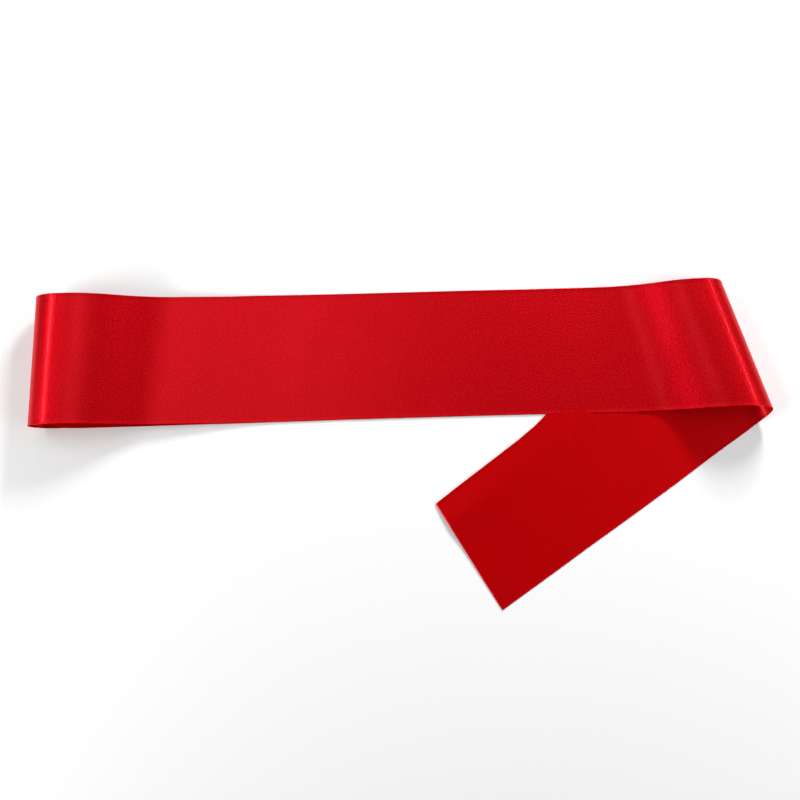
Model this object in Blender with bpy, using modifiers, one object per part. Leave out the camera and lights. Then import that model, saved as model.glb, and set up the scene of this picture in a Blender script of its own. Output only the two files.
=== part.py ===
"""A satin sash lying folded on a table.

It is one long strip of cloth with square ends. From its hidden end it runs to the left under the
band, turns over in a soft loop, comes back as the band, turns over again in a slanted loop and
leaves to the front left as the tail. X is to the right, Y away from the viewer and Z up.
"""

from dataclasses import dataclass

import bmesh
import bpy
import numpy as np

# Driving sizes, in metres
WIDTH = 0.100
WALL = 0.001
GAP = 0.0003
BAND_RUN = 0.2110
TAIL_RUN = 0.2575
UNDER_RUN = 0.244

# Directions, in degrees
BAND_HEADING = 1.67
CUT_SLANT = 3.5

# Heights of the middle of the cloth
TABLE_LEVEL = WALL / 2
TOP_LEVEL = TABLE_LEVEL + WALL + GAP

# How finely the cloth is divided
COLUMNS = 4
RAMP_ROWS = 34
NOSE_ROWS = 18
FLAT_ROWS = 6
TAIL_ROWS = 16

# The tail's edges, drawn in from the straight strip: distance from the cut, near edge, far edge
TAIL_EDGES = np.array([
    (0.000, 0.0034, 0.0037),
    (0.020, 0.0030, 0.0030),
    (0.050, 0.0024, 0.0025),
    (0.080, 0.0019, 0.0019),
    (0.097, 0.0015, 0.0008),
    (0.112, 0.0011, -0.0015),
    (0.130, 0.0007, -0.0015),
    (0.165, 0.0001, -0.0003),
    (0.200, 0.0000, 0.0000),
])


@dataclass
class Turn:
    """A loop in which the cloth climbs from the band, rounds over and comes back along the table."""

    start: float       # where it leaves the band, measured along the band's middle
    side: int          # 1 when it lies at the right end of the band, -1 at the left end
    slant: float       # lean of its first crease from square across, in degrees
    ramp: float        # length of the climb
    swell: float       # share of the climb that comes as one long low swell
    lift: float        # share of the ramp after which the rest of the climb starts
    crest: float       # height of the middle of the cloth at the top
    nose_over: float   # how far the upper half of the rounding reaches out
    nose_under: float  # how far the lower half comes back in
    apex: float        # signed distance along the crease to where all the creases would meet
    skew: float        # how far the far edge slides outwards past the near edge, as a share of width


LEFT = Turn(0.0, -1, -9.81, 0.1974, 0.317, 0.561, 0.0286, 0.0203, 0.0189, -1.321, -0.025)
RIGHT = Turn(BAND_RUN, 1, 11.56, 0.0948, 0.17, 0.30, 0.0240, 0.0180, 0.0152, 1.2207, 0.008)


def smooth_step(u):
    """Rises from 0 to 1 with no kink and no sudden bend at either end."""
    u = np.clip(u, 0, 1)
    return u**3 * (10 - 15 * u + 6 * u * u)


def profile(turn):
    """A turn cut square through: run along the cloth, reach outwards and height, point by point."""
    climb = np.linspace(0, 1, RAMP_ROWS + 1)
    quarter = np.linspace(0, np.pi / 2, NOSE_ROWS + 1)[1:]
    half_height = (turn.crest - TABLE_LEVEL) / 2
    lifted = (climb - turn.lift) / (1 - turn.lift)
    share = turn.swell * smooth_step(climb) + (1 - turn.swell) * smooth_step(lifted)
    rise = (turn.crest - TOP_LEVEL) * share
    tip = turn.ramp + turn.nose_over
    reach = np.concatenate([
        turn.ramp * climb,
        turn.ramp + turn.nose_over * np.sin(quarter),
        tip - turn.nose_under * (1 - np.cos(quarter)),
    ])
    height = np.concatenate([
        TOP_LEVEL + rise,
        turn.crest - half_height * (1 - np.cos(quarter)),
        TABLE_LEVEL + half_height * (1 - np.sin(quarter)),
    ])
    steps = np.hypot(np.diff(reach), np.diff(height))
    run = np.concatenate([[0.0], np.cumsum(steps)])
    return run, reach, height


def crease_frame(turn):
    """Unit vectors in the straight strip: outwards from the band, and along the first crease."""
    lean = np.radians(turn.slant)
    outward = turn.side * np.array([np.cos(lean), np.sin(lean)])
    along = np.array([-np.sin(lean), np.cos(lean)])
    return outward, along


def crease_point(turn, run, across):
    """Where the crease a given run into the turn crosses a lengthwise line of the straight strip."""
    outward, along = crease_frame(turn)
    beyond = np.sign(turn.apex)
    angle = run / abs(turn.apex)
    direction = np.sin(angle) * outward - beyond * np.cos(angle) * along
    apex = np.array([turn.start, 0.0]) + turn.apex * along
    distance = (across - apex[1]) / direction[1]
    return apex[0] + distance * direction[0]


def lay(turn, x, y):
    """Puts a point of the straight strip where it lies once the cloth has been turned over."""
    outward, along = crease_frame(turn)
    beyond = np.sign(turn.apex)
    radius = abs(turn.apex)
    offset = np.array([x - turn.start, y])
    out = offset @ outward
    depth = radius - beyond * (offset @ along)
    distance = np.hypot(out, depth)
    run = np.arctan2(out, depth) * radius

    run_rows, reach_rows, height_rows = profile(turn)
    if run <= 0:
        reach, height = run, TOP_LEVEL
    elif run >= run_rows[-1]:
        reach, height = reach_rows[-1] - (run - run_rows[-1]), TABLE_LEVEL
    else:
        reach = np.interp(run, run_rows, reach_rows)
        level = np.interp(run, [0, run_rows[-1]], [TOP_LEVEL, TABLE_LEVEL])
        height = level + (np.interp(run, run_rows, height_rows) - level) * distance / radius

    base = np.clip(height, TABLE_LEVEL, TOP_LEVEL)
    across_out = distance * np.sin(reach / radius)
    drop = np.sqrt(distance**2 - across_out**2 - (height - base)**2)
    plan = np.array([turn.start, 0.0]) + across_out * outward + (turn.apex - beyond * drop) * along
    plan += turn.skew * y * smooth_step(run / run_rows[RAMP_ROWS]) * outward
    return np.array([plan[0], plan[1], height])


def across_places():
    """Where the lengthwise lines of points run, from the near edge to the far edge."""
    return np.linspace(-WIDTH / 2, WIDTH / 2, COLUMNS + 1)


def straight(_, across):
    """Leaves the edges of a stretch as they were woven."""
    return across


def flat_stretch(turn, first, last, rows, edge=straight):
    """Rows of points for a stretch that lies flat, between two lines drawn across the strip."""
    lines = []
    for share in np.linspace(0, 1, rows + 1):
        line = []
        for across in across_places():
            x = (1 - share) * first(across) + share * last(across)
            line.append(lay(turn, x, edge(x, across)))
        lines.append(line)
    return np.array(lines)


def turned_stretch(turn):
    """Rows of points for a turn, one along each crease of its profile."""
    lines = []
    for run in profile(turn)[0]:
        lines.append([lay(turn, crease_point(turn, run, across), across) for across in across_places()])
    return np.array(lines)


def tail_end(across):
    """The slanting cut across the tail."""
    run_in = profile(RIGHT)[0][-1]
    return RIGHT.start + run_in + TAIL_RUN - across * np.tan(np.radians(CUT_SLANT))


def under_end(across):
    """The square cut across the hidden end."""
    return LEFT.start - profile(LEFT)[0][-1] - UNDER_RUN


def tail_edge(x, across):
    """Draws the tail's two edges in by the distances of the table."""
    from_cut = tail_end(across) - x
    near = np.interp(from_cut, TAIL_EDGES[:, 0], TAIL_EDGES[:, 1])
    far = np.interp(from_cut, TAIL_EDGES[:, 0], TAIL_EDGES[:, 2])
    share = across / WIDTH + 0.5
    return across + (1 - share) * near - share * far


def stretches():
    """The five stretches of the strip, each a grid of points along and across the cloth."""
    left_run = profile(LEFT)[0][-1]
    right_run = profile(RIGHT)[0][-1]
    return {
        "under_layer": flat_stretch(
            LEFT, lambda v: crease_point(LEFT, left_run + GAP, v), under_end, FLAT_ROWS),
        "left_turn": turned_stretch(LEFT),
        "band": flat_stretch(
            LEFT,
            lambda v: crease_point(LEFT, -GAP, v),
            lambda v: crease_point(RIGHT, -GAP, v),
            FLAT_ROWS),
        "right_turn": turned_stretch(RIGHT),
        "tail": flat_stretch(
            RIGHT, lambda v: crease_point(RIGHT, right_run + GAP, v), tail_end, TAIL_ROWS, tail_edge),
    }


def turned_to_heading(points):
    """Turns plan positions so that the band takes its heading on the table."""
    angle = np.radians(BAND_HEADING)
    x = points[..., 0] * np.cos(angle) - points[..., 1] * np.sin(angle)
    y = points[..., 0] * np.sin(angle) + points[..., 1] * np.cos(angle)
    return np.stack([x, y, points[..., 2]], axis=-1)


def centred(grids):
    """Moves all stretches in plan so that the middle of the sash's outline is the origin."""
    flat = np.concatenate([grid.reshape(-1, 3) for grid in grids.values()])
    middle = (flat.min(axis=0) + flat.max(axis=0)) / 2
    shift = np.array([middle[0], middle[1], 0.0])
    return {name: grid - shift for name, grid in grids.items()}


def satin(name, colour, roughness):
    """A smooth woven cloth with a soft sheen."""
    material = bpy.data.materials.new(name)
    material.use_nodes = True
    shader = material.node_tree.nodes["Principled BSDF"]
    shader.inputs["Base Color"].default_value = (*colour, 1.0)
    shader.inputs["Roughness"].default_value = roughness
    shader.inputs["Metallic"].default_value = 0.0
    material.diffuse_color = (*colour, 1.0)
    return material


def cloth_piece(name, grid, material, collection):
    """Lays a flat grid of cloth onto a stretch's points and gives it its thickness."""
    rows, columns = grid.shape[0] - 1, grid.shape[1] - 1
    mesh = bpy.data.meshes.new(name)
    work = bmesh.new()
    bmesh.ops.create_grid(work, x_segments=rows, y_segments=columns, size=0.5)
    for vertex in work.verts:
        row = round((vertex.co.x + 0.5) * rows)
        column = round((vertex.co.y + 0.5) * columns)
        vertex.co = grid[row, column]
    work.to_mesh(mesh)
    work.free()
    mesh.shade_smooth()
    mesh.set_sharp_from_angle(angle=np.radians(40))
    mesh.materials.append(material)

    piece = bpy.data.objects.new(name, mesh)
    collection.objects.link(piece)
    wall = piece.modifiers.new("wall", "SOLIDIFY")
    wall.thickness = WALL
    wall.offset = 0.0
    wall.use_even_offset = True
    wall.use_rim = True
    return piece


def clear_scene():
    for item in list(bpy.data.objects):
        bpy.data.objects.remove(item, do_unlink=True)


def main():
    clear_scene()
    collection = bpy.data.collections.new("satin_sash")
    bpy.context.scene.collection.children.link(collection)

    face = satin("satin_face", (0.52, 0.004, 0.010), 0.38)
    reverse = satin("satin_reverse", (0.46, 0.001, 0.003), 0.55)
    finish = {
        "under_layer": reverse,
        "left_turn": face,
        "band": face,
        "right_turn": face,
        "tail": reverse,
    }

    grids = {name: turned_to_heading(grid) for name, grid in stretches().items()}
    sash = bpy.data.objects.new("sash", None)
    collection.objects.link(sash)
    for name, grid in centred(grids).items():
        piece = cloth_piece(name, grid, finish[name], collection)
        piece.parent = sash


main()
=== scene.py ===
# %% [markdown]
# # A satin sash, folded on a table
#
# A sash like this is one long strip of satin ribbon cloth with two cut ends and nothing sewn on. It
# lies folded: from its hidden end it runs to the left under the band, turns over in a soft loop, comes
# back to the right as the band, turns over again in a slanted loop and leaves to the front as the tail.
#
# This lesson makes the strip in Blender. The folded solids of the sash are loaded first. They say how
# large everything is and where it lies, and the finer cloth made here takes their place.

# %% Load the folded solids
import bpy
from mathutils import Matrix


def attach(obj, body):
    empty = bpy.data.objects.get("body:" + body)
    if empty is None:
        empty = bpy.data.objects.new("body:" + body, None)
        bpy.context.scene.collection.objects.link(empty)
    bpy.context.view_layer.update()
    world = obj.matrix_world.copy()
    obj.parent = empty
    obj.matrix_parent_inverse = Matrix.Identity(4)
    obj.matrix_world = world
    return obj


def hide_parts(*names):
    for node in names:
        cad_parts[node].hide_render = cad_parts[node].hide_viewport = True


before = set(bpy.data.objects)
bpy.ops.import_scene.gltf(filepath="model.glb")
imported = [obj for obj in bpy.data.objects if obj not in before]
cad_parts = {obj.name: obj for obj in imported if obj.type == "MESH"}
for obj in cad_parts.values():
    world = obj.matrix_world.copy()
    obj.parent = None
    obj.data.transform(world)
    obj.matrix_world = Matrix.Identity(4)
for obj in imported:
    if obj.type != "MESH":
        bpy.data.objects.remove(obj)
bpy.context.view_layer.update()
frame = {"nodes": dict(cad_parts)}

print("solids:", ", ".join(frame["nodes"]))

# %% Bring in what the lesson needs
from dataclasses import dataclass

import bmesh
import bpy
import numpy as np
from mathutils import Matrix, Vector, noise

MM = 0.001

# %% [markdown]
# ## The strip before it is folded
#
# A fold is easiest to think of on the flat strip. Every place on the cloth has two numbers: how far
# along the strip it is, and how far across from the middle. Folding moves the place in space, but these
# two numbers stay, so a crease, a weave or a selvedge can be drawn on the flat strip and folded with it.
# The distance along is zero where the left loop meets the band.

# %% Sizes of the strip
WIDTH = 0.100
CLOTH = 0.35 * MM
BAND_RUN = 0.2110
TAIL_RUN = 0.2575
UNDER_RUN = 0.244
BAND_HEADING = 1.67
CUT_SLANT = 3.5

ABOVE_TABLE = 0.02 * MM
BETWEEN_LAYERS = 0.15 * MM
TABLE_LEVEL = CLOTH / 2 + ABOVE_TABLE
TOP_LEVEL = TABLE_LEVEL + CLOTH + BETWEEN_LAYERS
print(f"cloth {CLOTH / MM:.2f} mm thick, upper layer {TOP_LEVEL / MM:.2f} mm above the table")

# %% [markdown]
# ## How the cloth turns over
#
# Cloth bends easily but hardly stretches, so a loop is a cone or a cylinder: straight lines run across
# it, and it curves only from one line to the next. Both loops here are cones. Each one starts on a
# slanted crease, climbs slowly from the band, rounds over at the top and comes back along the table. The
# slant is what sends the tail off to the front.
#
# A simulation could drop a strip and let it find such folds, but it would seldom stop in this very pose.
# Working the folds out from a few sizes puts them where they are, and keeps the cloth's true length.

# %% The two turns
@dataclass
class Turn:
    start: float       # where it leaves the band, along the strip
    side: int          # 1 at the right end of the band, -1 at the left end
    slant: float       # lean of its first crease from square across, in degrees
    ramp: float        # length of the climb
    swell: float       # share of the climb that comes as one long low swell
    lift: float        # share of the ramp after which the rest of the climb starts
    crest: float       # height of the middle of the cloth at the top
    nose_over: float   # how far the upper half of the rounding reaches out
    nose_under: float  # how far the lower half comes back in
    apex: float        # signed distance along the crease to where all the creases would meet
    skew: float        # how far the far edge slides outwards past the near edge, as a share of width


LEFT = Turn(
    start=0.0, side=-1, slant=-9.81, ramp=0.1974, swell=0.317, lift=0.561, crest=0.0286,
    nose_over=0.0203, nose_under=0.0189, apex=-1.321, skew=-0.025)
RIGHT = Turn(
    start=BAND_RUN, side=1, slant=11.56, ramp=0.0948, swell=0.17, lift=0.30, crest=0.0240,
    nose_over=0.0180, nose_under=0.0152, apex=1.2207, skew=0.008)
for side, turn in {"left": LEFT, "right": RIGHT}.items():
    print(f"{side} turn: climbs over {turn.ramp / MM:.0f} mm to a height of {turn.crest / MM:.1f} mm")

# %% The shape of a turn, cut square through
RAMP_ROWS = 90
NOSE_ROWS = 30


def smooth_step(u):
    """Rises from 0 to 1 with no kink and no sudden bend at either end."""
    u = np.clip(u, 0, 1)
    return u**3 * (10 - 15 * u + 6 * u * u)


def profile(turn):
    """Run along the cloth, reach outwards and height, point by point."""
    climb = np.linspace(0, 1, RAMP_ROWS + 1)
    quarter = np.linspace(0, np.pi / 2, NOSE_ROWS + 1)[1:]
    half_height = (turn.crest - TABLE_LEVEL) / 2
    lifted = (climb - turn.lift) / (1 - turn.lift)
    share = turn.swell * smooth_step(climb) + (1 - turn.swell) * smooth_step(lifted)
    rise = (turn.crest - TOP_LEVEL) * share
    tip = turn.ramp + turn.nose_over
    reach = np.concatenate([
        turn.ramp * climb,
        turn.ramp + turn.nose_over * np.sin(quarter),
        tip - turn.nose_under * (1 - np.cos(quarter)),
    ])
    height = np.concatenate([
        TOP_LEVEL + rise,
        turn.crest - half_height * (1 - np.cos(quarter)),
        TABLE_LEVEL + half_height * (1 - np.sin(quarter)),
    ])
    steps = np.hypot(np.diff(reach), np.diff(height))
    return np.concatenate([[0.0], np.cumsum(steps)]), reach, height


def run_of(turn):
    """Length of cloth in a turn."""
    return profile(turn)[0][-1]


print(f"left turn takes {run_of(LEFT) / MM:.1f} mm of cloth, right turn {run_of(RIGHT) / MM:.1f} mm")

# %% Where the creases run on the flat strip
def crease_frame(turn):
    """Unit vectors on the flat strip: outwards from the band, and along the first crease."""
    lean = np.radians(turn.slant)
    outward = turn.side * np.array([np.cos(lean), np.sin(lean)])
    return outward, np.array([-np.sin(lean), np.cos(lean)])


def crease_point(turn, run, across):
    """How far along the strip a crease of the turn crosses a lengthwise thread."""
    outward, along = crease_frame(turn)
    beyond = np.sign(turn.apex)
    angle = run / abs(turn.apex)
    direction = np.sin(angle) * outward - beyond * np.cos(angle) * along
    apex = np.array([turn.start, 0.0]) + turn.apex * along
    return apex[0] + (across - apex[1]) / direction[1] * direction[0]


for side, turn in {"left": LEFT, "right": RIGHT}.items():
    crossings = crease_point(turn, 0.0, np.array([-WIDTH / 2, WIDTH / 2]))
    print(f"first crease of the {side} turn, near and far edge: {np.round(crossings / MM, 1)} mm")

# %% Lay a place of the flat strip where it belongs
def lay(turn, x, y):
    """Puts places of the flat strip, x along and y across, where they lie after the turn."""
    outward, along = crease_frame(turn)
    beyond = np.sign(turn.apex)
    radius = abs(turn.apex)
    out = (x - turn.start) * outward[0] + y * outward[1]
    depth = radius - beyond * ((x - turn.start) * along[0] + y * along[1])
    distance = np.hypot(out, depth)
    run = np.arctan2(out, depth) * radius

    runs, reaches, heights = profile(turn)
    within = np.clip(run, 0, runs[-1])
    reach = np.interp(within, runs, reaches) + np.minimum(run, 0) - np.maximum(run - runs[-1], 0)
    level = np.interp(within, [0, runs[-1]], [TOP_LEVEL, TABLE_LEVEL])
    height = level + (np.interp(within, runs, heights) - level) * distance / radius

    base = np.clip(height, TABLE_LEVEL, TOP_LEVEL)
    across_out = distance * np.sin(reach / radius)
    drop = np.sqrt(distance**2 - across_out**2 - (height - base)**2)
    along_out = turn.apex - beyond * drop
    across_out = across_out + turn.skew * y * smooth_step(run / runs[RAMP_ROWS])
    return np.stack([
        turn.start + across_out * outward[0] + along_out * along[0],
        across_out * outward[1] + along_out * along[1],
        height,
    ], axis=-1)


left_top = lay(LEFT, crease_point(LEFT, profile(LEFT)[0][RAMP_ROWS], 0.0), 0.0)
print("top of the left loop, before the strip is centred, in mm:", np.round(left_top / MM, 1))

# %% [markdown]
# ## Rows and columns
#
# The cloth becomes a grid. Its rows follow the creases, which is what lets a few rows draw a clean loop,
# and they slowly straighten towards the two cut ends. The columns run along the threads. They crowd
# together at both edges, where the woven selvedge stands up as a narrow bead.

# %% Columns, from the near edge to the far edge
SELVEDGE = 1.1 * MM
EDGE_COLUMNS = 5
MIDDLE_COLUMNS = 38

edge_places = np.linspace(0, SELVEDGE, EDGE_COLUMNS + 1)
middle_places = np.linspace(SELVEDGE, WIDTH - SELVEDGE, MIDDLE_COLUMNS + 1)[1:-1]
across = np.concatenate([edge_places, middle_places, WIDTH - edge_places[::-1]]) - WIDTH / 2
print(len(across), "columns of points")

# %% The edges
# The tail narrows a little towards its cut: distance from the cut, near edge, far edge.
TAIL_EDGES = np.array([
    (0.000, 0.0034, 0.0037),
    (0.020, 0.0030, 0.0030),
    (0.050, 0.0024, 0.0025),
    (0.080, 0.0019, 0.0019),
    (0.097, 0.0015, 0.0008),
    (0.112, 0.0011, -0.0015),
    (0.130, 0.0007, -0.0015),
    (0.165, 0.0001, -0.0003),
    (0.200, 0.0000, 0.0000),
    (0.215, -0.0003, 0.0000),
    (0.235, -0.0008, 0.0000),
    (0.260, -0.0004, 0.0000),
    (0.290, 0.0000, 0.0000),
])

# Elsewhere the edges waver by less than a millimetre: place along the strip, near edge, far edge.
BAND_EDGES = np.array([
    (-0.4500, 0.0000, 0.0000),
    (-0.4000, -0.0004, 0.0000),
    (-0.2700, -0.0005, 0.0000),
    (-0.2550, 0.0000, 0.0000),
    (-0.1500, 0.0000, 0.0000),
    (-0.1300, 0.0000, -0.0003),
    (-0.1000, 0.0000, -0.0005),
    (-0.0700, 0.0000, -0.0005),
    (-0.0500, 0.0000, -0.0009),
    (-0.0100, 0.0001, -0.0008),
    (0.0200, 0.0004, -0.0006),
    (0.1200, 0.0004, -0.0006),
    (0.1600, 0.0003, -0.0003),
    (0.2100, 0.0000, -0.0003),
    (0.2400, 0.0000, -0.0002),
    (0.2650, 0.0000, 0.0004),
    (0.2900, 0.0000, 0.0004),
    (0.3100, 0.0000, 0.0000),
])

tail_cut = RIGHT.start + run_of(RIGHT) + TAIL_RUN - across * np.tan(np.radians(CUT_SLANT))
hidden_cut = np.full_like(across, LEFT.start - run_of(LEFT) - UNDER_RUN)


def drawn_in(x):
    """Where each lengthwise thread lies across the strip."""
    from_cut = tail_cut - x
    share = across / WIDTH + 0.5
    near = np.interp(from_cut, TAIL_EDGES[:, 0], TAIL_EDGES[:, 1])
    far = np.interp(from_cut, TAIL_EDGES[:, 0], TAIL_EDGES[:, 2])
    near += np.interp(x, BAND_EDGES[:, 0], BAND_EDGES[:, 1])
    far += np.interp(x, BAND_EDGES[:, 0], BAND_EDGES[:, 2])
    return across + (1 - share) * near - share * far


print(f"the tail is cut {TAIL_EDGES[0, 1:].sum() / MM:.1f} mm narrower than the band")

# %% Rows, from the hidden end to the tail's cut
UNDER_ROWS = 70
BAND_ROWS = 170
TAIL_ROWS = 110


def between(first, last, rows):
    """Rows that lead evenly from one line across the strip to another, without the last."""
    return [first + (last - first) * row / rows for row in range(rows)]


left_creases = [crease_point(LEFT, run, across) for run in profile(LEFT)[0]]
right_creases = [crease_point(RIGHT, run, across) for run in profile(RIGHT)[0]]
along = np.array(
    between(hidden_cut, left_creases[-1], UNDER_ROWS)
    + left_creases[:0:-1]
    + between(left_creases[0], right_creases[0], BAND_ROWS)
    + right_creases[:-1]
    + between(right_creases[-1], tail_cut, TAIL_ROWS)
    + [tail_cut])
in_tail = along > right_creases[-1]
thread = drawn_in(along)
on_left = along < BAND_RUN / 2
print(f"{along.shape[0]} rows of points, from {along.min():.3f} to {along.max():.3f} m along the strip")

# %% Fold the strip
points = np.where(on_left[..., None], lay(LEFT, along, thread), lay(RIGHT, along, thread))
print(f"folded strip: {np.ptp(points[..., 0]) / MM:.0f} mm long, {points[..., 2].max() / MM:.1f} mm high")

# %% [markdown]
# ## Soft creases and waves
#
# Satin that has been rolled or packed keeps faint marks: a crease that fades out at both ends, a low
# wave where it was gripped, and an edge that curls. Most are lower than a third of a millimetre, and only
# a ridge and a broad hump on the tail are a whole millimetre high. Satin shows them all, because its
# shine swings twice as far as the cloth tilts.
#
# Each mark is drawn on the flat strip as a curve through three places, with a width and a height. The
# surface rises beside the curve like a low bell and fades out towards the curve's ends.

# %% Marks on the band and the turns
# Three places (along, across), width and height, in millimetres. A trough has a negative height.
BAND_MARKS = {
    "long bow": ((21, 46), (-6, 20), (-12, -40), 11.0, 0.24),
    "fine diagonal": ((-58, 10), (-32, 19), (-6, 28), 2.6, 0.05),
    "toe wave": ((-114, 52), (-92, 22), (-102, -20), 10.0, 0.18),
    "toe wave, lower": ((-100, 0), (-106, -26), (-120, -52), 9.0, 0.12),
    "middle hollow": ((80, -50), (86, -36), (80, -22), 10.0, -0.10),
    "middle swell": ((50, -6), (68, -16), (100, -18), 9.0, 0.12),
    "swell over the tail": ((152, -50), (166, -40), (186, -36), 7.0, 0.14),
    "right wave": ((282, 40), (275, 5), (266, -36), 12.0, 0.10),
}
TAIL_MARKS = {
    "ridge inside the far edge": ((740, 27), (590, 28), (440, 34), 14.0, 1.1),
    "low hump": ((650, 30), (560, 22), (470, 16), 40.0, 1.1),
    "end curl": ((613, 48), (617, 0), (613, -48), 6.0, 0.25),
}
CURVE_STEPS = 24


def mark_shape(mark, x, y):
    """Height of one mark over the flat strip, in metres."""
    first, middle, last, width, height = mark
    t = np.linspace(0, 1, CURVE_STEPS + 1)[:, None]
    curve = (1 - t)**2 * np.array(first) + t**2 * np.array(last)
    curve = curve + 2 * t * (1 - t) * (2 * np.array(middle) - (np.array(first) + np.array(last)) / 2)
    best = np.full(x.shape, np.inf)
    share = np.zeros(x.shape)
    for place, (u, v) in zip(t[:, 0], curve * MM):
        away = np.hypot(x - u, y - v)
        nearer = away < best
        best = np.where(nearer, away, best)
        share = np.where(nearer, place, share)
    fade = np.clip(4 * share * (1 - share), 0, 1)
    return height * MM * fade * np.exp(-(best / (width * MM))**2)


relief = np.zeros(along.shape)
for name, mark in {**BAND_MARKS, **TAIL_MARKS}.items():
    shape = mark_shape(mark, along, thread)
    relief += shape
    print(f"{name}: {(shape.max() + shape.min()) / MM:+.2f} mm")

# %% The band dips between the layers under it
# The hidden layer ends at one place along the strip, and the tail's edge passes under the band on a
# slanted line, given by one of its places and by its lean in degrees.
HIDDEN_END = 0.0454
TAIL_CROSSING = (0.1725, -0.0506)
TAIL_EDGE_LEAN = 34.5
DIP = 0.05 * MM
DIP_LENGTH = 3.5 * MM


def beyond_line(distance):
    """0 before a line and 1 past it, with a soft change at the line."""
    return smooth_step(distance / DIP_LENGTH + 0.5)


lean = np.radians(TAIL_EDGE_LEAN)
past_end = beyond_line(along - HIDDEN_END)
past_tail = beyond_line(
    (along - TAIL_CROSSING[0]) * np.sin(lean) - (thread - TAIL_CROSSING[1]) * np.cos(lean))
on_band = (along > 0) & (along < BAND_RUN)
relief -= np.where(on_band, DIP * past_end * (1 - past_tail), 0)
print(f"the band dips by {DIP / MM:.2f} mm where nothing lies under it")

# %% Low waves from handling
# Two sizes of wave, each with its length and height in millimetres.
WAVES = ((24.0, 0.05), (9.0, 0.012))

for size, height in WAVES:
    for row in range(along.shape[0]):
        for column in range(along.shape[1]):
            place = Vector((along[row, column], thread[row, column], size * MM)) / (size * MM)
            relief[row, column] += height * MM * noise.noise(place)
print(f"waves and marks together: {relief.min() / MM:+.2f} to {relief.max() / MM:+.2f} mm")

# %% Layers that lie on the table
# They can rise from the table but not sink into it.
on_table = in_tail | (along < left_creases[-1])
relief = np.where(on_table, np.maximum(relief, 0), relief)
print(f"{on_table.mean():.0%} of the points lie on the table")

# %% Raise the selvedges
BEAD = 0.09 * MM
from_edge = WIDTH / 2 - np.abs(across)
relief += BEAD * np.sin(np.pi * np.clip(from_edge / SELVEDGE, 0, 1))
print(f"the selvedge is {SELVEDGE / MM:.1f} mm wide and stands {BEAD / MM:.2f} mm proud")

# %% Move the points out along the cloth's own direction
# The strip is turned over where it lies on the table, so there its upper side is the other one.
rows_apart = np.gradient(points, axis=0)
columns_apart = np.gradient(points, axis=1)
outwards = np.cross(rows_apart, columns_apart)
outwards /= np.linalg.norm(outwards, axis=-1, keepdims=True)
upper_side = np.where(on_table, -1.0, 1.0)
points += outwards * (relief * upper_side)[..., None]
points[..., 2] = np.maximum(points[..., 2], TABLE_LEVEL)
print(f"highest point now {points[..., 2].max() / MM:.1f} mm")

# %% Turn the folded strip to its heading and centre it
heading = np.radians(BAND_HEADING)
turned = np.stack([
    points[..., 0] * np.cos(heading) - points[..., 1] * np.sin(heading),
    points[..., 0] * np.sin(heading) + points[..., 1] * np.cos(heading),
    points[..., 2],
], axis=-1)
outline = turned.reshape(-1, 3)
middle = (outline.min(axis=0) + outline.max(axis=0)) / 2
turned -= np.array([middle[0], middle[1], 0.0])
print(f"turned by {BAND_HEADING} degrees and moved by {np.round(-middle[:2] / MM, 1)} mm")

# %% [markdown]
# ## The cloth as a mesh
#
# A grid primitive already has the right squares. Each of its points is moved to its place on the folded
# strip, and a Solidify modifier gives the cloth its thickness, with one material on the shiny face, one
# on the dull reverse and one on the edges. The places along and across are kept as a UV map in metres,
# so that the weave follows the threads through every fold.

# %% Make the mesh
def strip_mesh(name, grid, u, v):
    """A grid of squares with its points at the given places, and u and v as its UV map."""
    rows, columns = grid.shape[0] - 1, grid.shape[1] - 1
    mesh = bpy.data.meshes.new(name)
    work = bmesh.new()
    bmesh.ops.create_grid(work, x_segments=rows, y_segments=columns, size=0.5)
    threads = work.loops.layers.uv.new("threads")
    for face in work.faces:
        for loop in face.loops:
            row = round((loop.vert.co.x + 0.5) * rows)
            column = round((loop.vert.co.y + 0.5) * columns)
            loop[threads].uv = (u[row, column], v[row, column])
    for vertex in work.verts:
        row = round((vertex.co.x + 0.5) * rows)
        column = round((vertex.co.y + 0.5) * columns)
        vertex.co = grid[row, column]
    work.to_mesh(mesh)
    work.free()
    mesh.shade_smooth()
    return mesh


across_grid = np.broadcast_to(across, along.shape)
sash = bpy.data.objects.new("sash_cloth", strip_mesh("sash_cloth", turned, along, across_grid))
bpy.context.scene.collection.objects.link(sash)
print(len(sash.data.polygons), "squares of cloth")

# %% Give it its thickness
wall = sash.modifiers.new("cloth thickness", "SOLIDIFY")
wall.thickness = CLOTH
wall.offset = 0.0
wall.use_even_offset = True
wall.use_rim = True
wall.material_offset = 1
wall.material_offset_rim = 2
print(f"cloth {wall.thickness / MM:.2f} mm thick")

# %% [markdown]
# ## Satin
#
# Satin is woven so that the lengthwise threads float over several crosswise ones. The floats are smooth
# and lie side by side, so the face shines, and the shine has two parts: light that passes through the
# dyed filament and comes back deep red, and a thin white gleam from its surface. The threads shine like
# brushed metal, narrow along the thread and wide across it. The reverse shows the short side of the
# weave and is much duller.
#
# One Principled shader carries this. A part of metal gives the red shine, a thin coat gives the white
# gleam, and the anisotropy follows the threads by way of the UV map. The rest of the shine is tinted
# crimson, because the red of satin turns cooler where it is bright.

# %% Helpers for shader nodes
def add_node(tree, kind, **settings):
    """Adds a node and sets its properties or, where the name is a socket, its input."""
    node = tree.nodes.new(kind)
    for key, value in settings.items():
        if key in node.inputs:
            node.inputs[key].default_value = value
        else:
            setattr(node, key, value)
    return node


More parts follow.
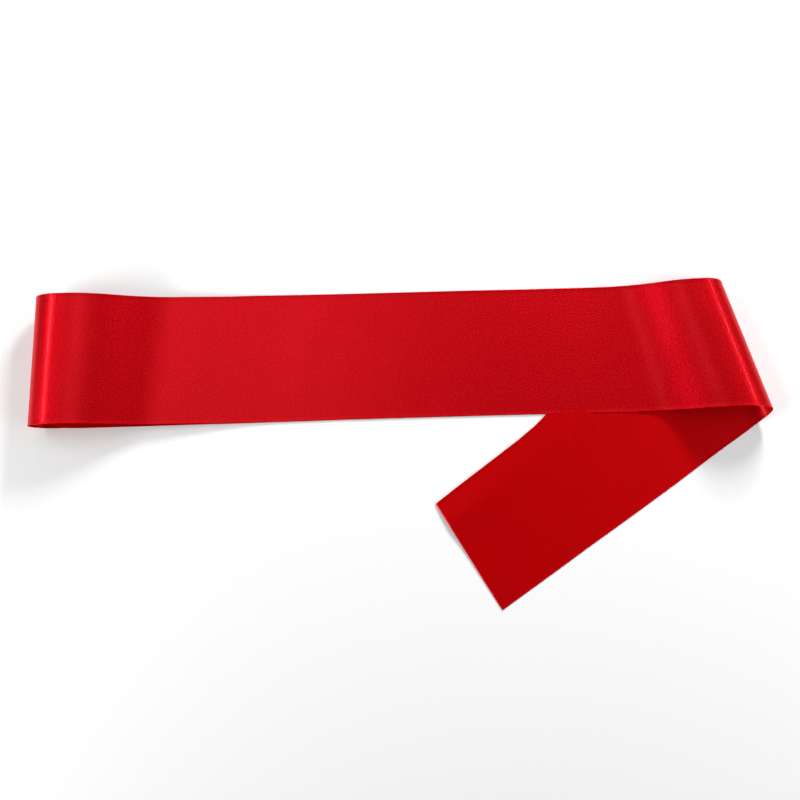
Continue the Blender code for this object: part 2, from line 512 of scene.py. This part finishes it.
def thread_places(tree, along_size, across_size):
    """Places on the strip, counted in steps of the two given sizes in metres."""
    places = add_node(tree, "ShaderNodeUVMap", uv_map="threads")
    scaled = add_node(tree, "ShaderNodeMapping")
    scaled.inputs["Scale"].default_value = (1 / along_size, 1 / across_size, 1.0)
    tree.links.new(places.outputs["UV"], scaled.inputs["Vector"])
    return scaled.outputs["Vector"]


def cloudy(tree, vector, detail=2.0):
    """Cloudy values from 0 to 1."""
    cloud = add_node(tree, "ShaderNodeTexNoise", Scale=1.0, Detail=detail)
    tree.links.new(vector, cloud.inputs["Vector"])
    return cloud.outputs["Fac"]


def spread(tree, value, low, high, start=0.3, end=0.7):
    """Stretches values between start and end over a new range."""
    ranged = add_node(tree, "ShaderNodeMapRange")
    tree.links.new(value, ranged.inputs["Value"])
    for key, number in {"From Min": start, "From Max": end, "To Min": low, "To Max": high}.items():
        ranged.inputs[key].default_value = number
    return ranged.outputs["Result"]


def colour_output(node):
    """The colour that a Mix node gives."""
    return [socket for socket in node.outputs if socket.type == "RGBA"][0]


print("each texture is placed by the UV map of the flat strip")

# %% The colour, thread by thread
# Floats catch the light one by one, and this is painted into the colour as glints: a fine mix of a plain
# red and a brighter one. Dye takes unevenly too, in broad clouds and in fine lengthwise streaks. Sizes
# are given along and across the threads.
FLOAT_SIZE = (1.5 * MM, 1.2 * MM)
CLOUD_SIZE = (30.0 * MM, 22.0 * MM)
STREAK_SIZE = (6.0 * MM, 1.2 * MM)
CLOUD_DEPTH = 0.02
STREAK_DEPTH = 0.015


def satin_colour(tree, colour, painted_glint_lift, flecks):
    """The socket of a red with painted glints from float to float, and with clouds and streaks of dye."""
    # Painted glints: where the flecks are high the red is brighter, standing in for floats that catch the
    # light.
    painted_glints = add_node(tree, "ShaderNodeMix", data_type="RGBA", blend_type="MIX")
    tree.links.new(spread(tree, flecks, 0.0, 1.0, 0.25, 0.75), painted_glints.inputs["Factor"])
    deep, painted_glint_red = [socket for socket in painted_glints.inputs if socket.type == "RGBA"]
    deep.default_value = (*colour, 1.0)
    painted_glint_red.default_value = (*[channel + more for channel, more in zip(colour, painted_glint_lift)], 1.0)

    clouds = spread(
        tree, cloudy(tree, thread_places(tree, *CLOUD_SIZE)), 1 - CLOUD_DEPTH, 1 + CLOUD_DEPTH)
    streaks = spread(
        tree, cloudy(tree, thread_places(tree, *STREAK_SIZE)), 1 - STREAK_DEPTH, 1 + STREAK_DEPTH)
    shade = add_node(tree, "ShaderNodeMath", operation="MULTIPLY")
    tree.links.new(clouds, shade.inputs[0])
    tree.links.new(streaks, shade.inputs[1])

    dye = add_node(tree, "ShaderNodeMix", data_type="RGBA", blend_type="MULTIPLY")
    dye.inputs["Factor"].default_value = 1.0
    red, grey = [socket for socket in dye.inputs if socket.type == "RGBA"]
    tree.links.new(colour_output(painted_glints), red)
    tree.links.new(shade.outputs["Value"], grey)
    return colour_output(dye)


print(f"floats about {FLOAT_SIZE[0] / MM:.1f} mm long, streaks {STREAK_SIZE[0] / MM:.0f} mm")

# %% A red cloth that shines along its threads
QUARTER_TURN = 0.25


def satin(name, colour, shine):
    """Red satin. shine holds the numbers by which the face, the reverse and the edges differ."""
    material = bpy.data.materials.new(name)
    material.use_nodes = True
    tree = material.node_tree
    shader = tree.nodes["Principled BSDF"]
    for key in ("Metallic", "IOR", "Anisotropic", "Coat Weight", "Coat Roughness"):
        shader.inputs[key].default_value = shine[key]
    shader.inputs["Specular Tint"].default_value = (*shine["gleam"], 1.0)

    flecks = cloudy(tree, thread_places(tree, *FLOAT_SIZE), 0.0)
    tree.links.new(satin_colour(tree, colour, shine["float"], flecks), shader.inputs["Base Color"])
    shinier = shine["Roughness"] - shine["flecks"]
    duller = shine["Roughness"] + shine["flecks"]
    tree.links.new(spread(tree, flecks, shinier, duller), shader.inputs["Roughness"])

    # Floats of uneven length tip the light a little
    bump = add_node(tree, "ShaderNodeBump", Strength=1.0, Distance=shine["weave"] * MM)
    tree.links.new(flecks, bump.inputs["Height"])
    tree.links.new(bump.outputs["Normal"], shader.inputs["Normal"])

    # The shine is wide across the threads
    grain = add_node(tree, "ShaderNodeTangent", direction_type="UV_MAP", uv_map="threads")
    tree.links.new(grain.outputs["Tangent"], shader.inputs["Tangent"])
    shader.inputs["Anisotropic Rotation"].default_value = QUARTER_TURN
    return material


# %% Face, reverse and edges
# Next to the shader's own numbers: weave is the depth of the floats in millimetres, flecks how far the
# roughness varies, the painted glint how much redder a float that catches the light is painted, and gleam
# the tint of the shine.
FACE_SHINE = {
    "Metallic": 0.55, "IOR": 1.5, "Roughness": 0.37, "Anisotropic": 0.3,
    "Coat Weight": 0.10, "Coat Roughness": 0.15, "weave": 0.12, "flecks": 0.02,
    "float": (0.09, 0.0045, 0.0045), "gleam": (1.0, 0.04, 0.38),
}
REVERSE_SHINE = {
    "Metallic": 0.35, "IOR": 1.5, "Roughness": 0.42, "Anisotropic": 0.4,
    "Coat Weight": 0.06, "Coat Roughness": 0.20, "weave": 0.03, "flecks": 0.01,
    "float": (0.012, 0.0004, 0.0006), "gleam": (1.0, 0.04, 0.12),
}
EDGE_SHINE = {
    "Metallic": 0.2, "IOR": 1.5, "Roughness": 0.5, "Anisotropic": 0.0,
    "Coat Weight": 0.1, "Coat Roughness": 0.4, "weave": 0.05, "flecks": 0.01,
    "float": (0.03, 0.004, 0.004), "gleam": (1.0, 0.04, 0.12),
}

sash.data.materials.append(satin("satin_face", (0.60, 0.0002, 0.0012), FACE_SHINE))
sash.data.materials.append(satin("satin_reverse", (0.53, 0.0001, 0.0004), REVERSE_SHINE))
sash.data.materials.append(satin("satin_edge", (0.62, 0.01, 0.015), EDGE_SHINE))
print("materials:", ", ".join(material.name for material in sash.data.materials))

# %% [markdown]
# ## The table
#
# The sash lies on a plain pale surface. It is large and almost white, so that it also throws soft light
# back under the loops, as a real table does.

# %% A pale floor
PALE = (0.92, 0.92, 0.92, 1.0)
FLOOR_SIZE = 6.0


def pale_surface():
    """An almost white, matt surface."""
    material = bpy.data.materials.new("pale_surface")
    material.use_nodes = True
    shader = material.node_tree.nodes["Principled BSDF"]
    shader.inputs["Base Color"].default_value = PALE
    shader.inputs["Roughness"].default_value = 0.85
    shader.inputs["Specular IOR Level"].default_value = 0.2
    return material


bpy.ops.mesh.primitive_plane_add(size=FLOOR_SIZE, location=(0.0, 0.0, 0.0))
floor = bpy.context.object
floor.name = "floor"
floor.data.materials.append(pale_surface())
print(f"floor of {FLOOR_SIZE:.0f} x {FLOOR_SIZE:.0f} m")

# %% [markdown]
# ## Studio light
#
# Satin is lit for its shine, so each light is placed by the line or glow that it draws. Think of a dome
# over the sash: a light near the top of the dome is mirrored by flat cloth, and one low down only by a
# steep slope. Every light here hangs on that dome and looks at the middle of the sash.
#
# Two slim lights, one at each side, draw the bright lines on the two loops. A row of strips overhead
# makes the broad glow on the band, brightest in its middle strip and fading at both sides. A strong one
# far back on the right sends the band's shadow onto the tail. The low ones from the front keep the shaded
# slopes red, and the sky is left dim so that the insides of the loops stay deep.

# %% Soft lights on a dome over the sash
DOME_MIDDLE = Vector((0.0, 0.05, 0.0))
DOME_RADIUS = 1.3


def soft_light(name, sideways, backwards, wide, deep, power):
    """A rectangular light. Its place and its size are angles in degrees, seen from the sash."""
    across_dome, along_dome = np.radians(sideways), np.radians(backwards)
    way = Vector((
        np.sin(across_dome) * np.cos(along_dome),
        np.sin(along_dome),
        np.cos(across_dome) * np.cos(along_dome),
    ))
    lamp = bpy.data.lights.new(name, "AREA")
    lamp.shape = "RECTANGLE"
    lamp.size = DOME_RADIUS * np.radians(wide)
    lamp.size_y = DOME_RADIUS * np.radians(deep)
    lamp.energy = power
    light = bpy.data.objects.new(name, lamp)
    light.location = DOME_MIDDLE + DOME_RADIUS * way

    # The long side lies as close to the direction of the creases, front to back, as the dome allows
    lengthwise = Vector((0.0, 1.0, 0.0))
    lengthwise = (lengthwise - lengthwise.dot(way) * way).normalized()
    light.rotation_euler = Matrix((lengthwise.cross(way), lengthwise, way)).transposed().to_euler()
    bpy.context.scene.collection.objects.link(light)
    return light


# %% Slim lights for the bright lines on the loops
# All are narrow from side to side and this deep, in degrees, from front to back.
DEEP = 34.0

soft_light("left line", sideways=-46.5, backwards=12.0, wide=1.4, deep=DEEP, power=2.8)
soft_light("left glow", sideways=-44.0, backwards=12.0, wide=12.0, deep=DEEP, power=0.7)
soft_light("right line", sideways=50.0, backwards=12.0, wide=1.0, deep=DEEP, power=2.0)
print("slim lights:", ", ".join(light.name for light in bpy.data.lights))

# %% The glow on the band
# Strips side by side make one glow that fades at both sides: angle and power of each.
OVERHEAD = (
    (-27.0, 0.08), (-22.0, 0.15), (-17.5, 0.24), (-13.5, 0.28), (-9.5, 0.22), (-5.5, 0.15),
    (-1.5, 0.10), (2.5, 0.06), (6.5, 0.03),
)
STRIP_OF_LIGHT = 8.0

for sideways, power in OVERHEAD:
    soft_light(
        f"overhead {sideways:+.0f}", sideways, backwards=14.0, wide=STRIP_OF_LIGHT, deep=DEEP,
        power=power)
print(f"{len(OVERHEAD)} strips overhead, {sum(power for _, power in OVERHEAD):.2f} watts together")

# %% Lights from the back and from low at the front
soft_light("back left", sideways=-18.0, backwards=36.0, wide=14.0, deep=26.0, power=0.7)
soft_light("back right", sideways=40.0, backwards=57.0, wide=10.0, deep=18.0, power=18.0)
soft_light("low left", sideways=-66.0, backwards=-22.0, wide=20.0, deep=26.0, power=10.0)
soft_light("low right", sideways=58.0, backwards=-22.0, wide=18.0, deep=26.0, power=5.0)
print(len(bpy.data.lights), "lights in all")

# %% A dim sky
SKY_STRENGTH = 0.05

world = bpy.data.worlds.new("studio")
bpy.context.scene.world = world
world.use_nodes = True
world.node_tree.nodes["Background"].inputs["Color"].default_value = (1.0, 1.0, 1.0, 1.0)
world.node_tree.nodes["Background"].inputs["Strength"].default_value = SKY_STRENGTH
bpy.context.scene.view_settings.view_transform = "Standard"
bpy.context.scene.view_settings.look = "None"
print("sky strength", SKY_STRENGTH)

# %% [markdown]
# ## The camera
#
# The sash is seen from almost straight above, tipped by less than ten degrees, from about as far away as
# a person standing at the table would hold a camera.

# %% Place the camera
CAMERA_ELEVATION = 80.6
CAMERA_DISTANCE = 0.668
FRAME_MIDDLE = Vector((-0.00107, 0.03381, 0.0))
FOCAL_IN_PIXELS = 862.0
FRAME_PIXELS = 800.0
SENSOR = 36.0

elevation = np.radians(CAMERA_ELEVATION)
optics = bpy.data.cameras.new("camera")
optics.sensor_width = SENSOR
optics.lens = SENSOR * FOCAL_IN_PIXELS / FRAME_PIXELS
camera = bpy.data.objects.new("camera", optics)
camera.location = FRAME_MIDDLE + CAMERA_DISTANCE * Vector((0.0, -np.cos(elevation), np.sin(elevation)))
camera.rotation_euler = (np.radians(90.0 - CAMERA_ELEVATION), 0.0, 0.0)
bpy.context.scene.collection.objects.link(camera)
bpy.context.scene.camera = camera
print(f"lens {optics.lens:.1f} mm, {CAMERA_DISTANCE} m from the middle of the frame")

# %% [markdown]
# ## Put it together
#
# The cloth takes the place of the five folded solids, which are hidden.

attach(sash, "root")
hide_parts("under_layer", "left_turn", "band", "right_turn", "tail")

# %% Finish
bpy.context.view_layer.update()
